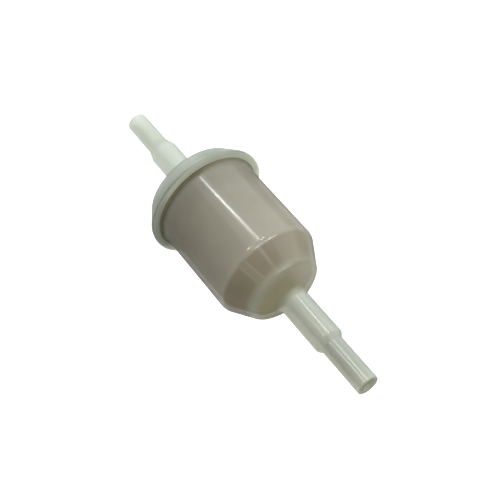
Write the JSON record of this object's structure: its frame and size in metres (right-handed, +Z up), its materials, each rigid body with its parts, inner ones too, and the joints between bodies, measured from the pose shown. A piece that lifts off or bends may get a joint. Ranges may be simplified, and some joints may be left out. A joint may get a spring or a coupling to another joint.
{
  "type": "inline fuel filter",
  "caption": "Sealed inline fuel filter: translucent nylon bowl with a conical end, flanged cap, stepped hose spigots and a pleated paper element inside.",
  "frame": {"origin": "on the flow axis, halfway between the two spigot tips", "axes": "+X along the flow axis from the cap's spigot to the bowl's spigot; +Z up; one of the bowl's four inner ribs lies 38.2 degrees up from +Y"},
  "size_m": [0.1086, 0.0356, 0.0357],
  "materials": {
    "bowl_nylon": "milky translucent natural nylon, smooth moulded gloss",
    "cap_nylon": "pale greenish white natural nylon, satin moulded",
    "weld_nylon": "remelted nylon, slightly glossy",
    "filter_paper": "resin treated pleated cellulose paper",
    "seam_film": "bonded seam film",
    "core_plastic": "plain moulded nylon",
    "disc_plastic": "brown moulded plastic",
    "potting": "amber resin",
    "seal_rubber": "black nitrile rubber"
  },
  "bodies": {
    "root": {"bowl": "bowl_nylon", "cap": "cap_nylon", "weld_bead": "weld_nylon", "pleated_paper": "filter_paper", "seam_strip": "seam_film", "core_tube": "core_plastic", "open_end_disc": "disc_plastic", "closed_end_disc": "disc_plastic", "open_end_potting": "potting", "closed_end_potting": "potting", "neck_seal": "seal_rubber"}
  },
  "joints": []
}
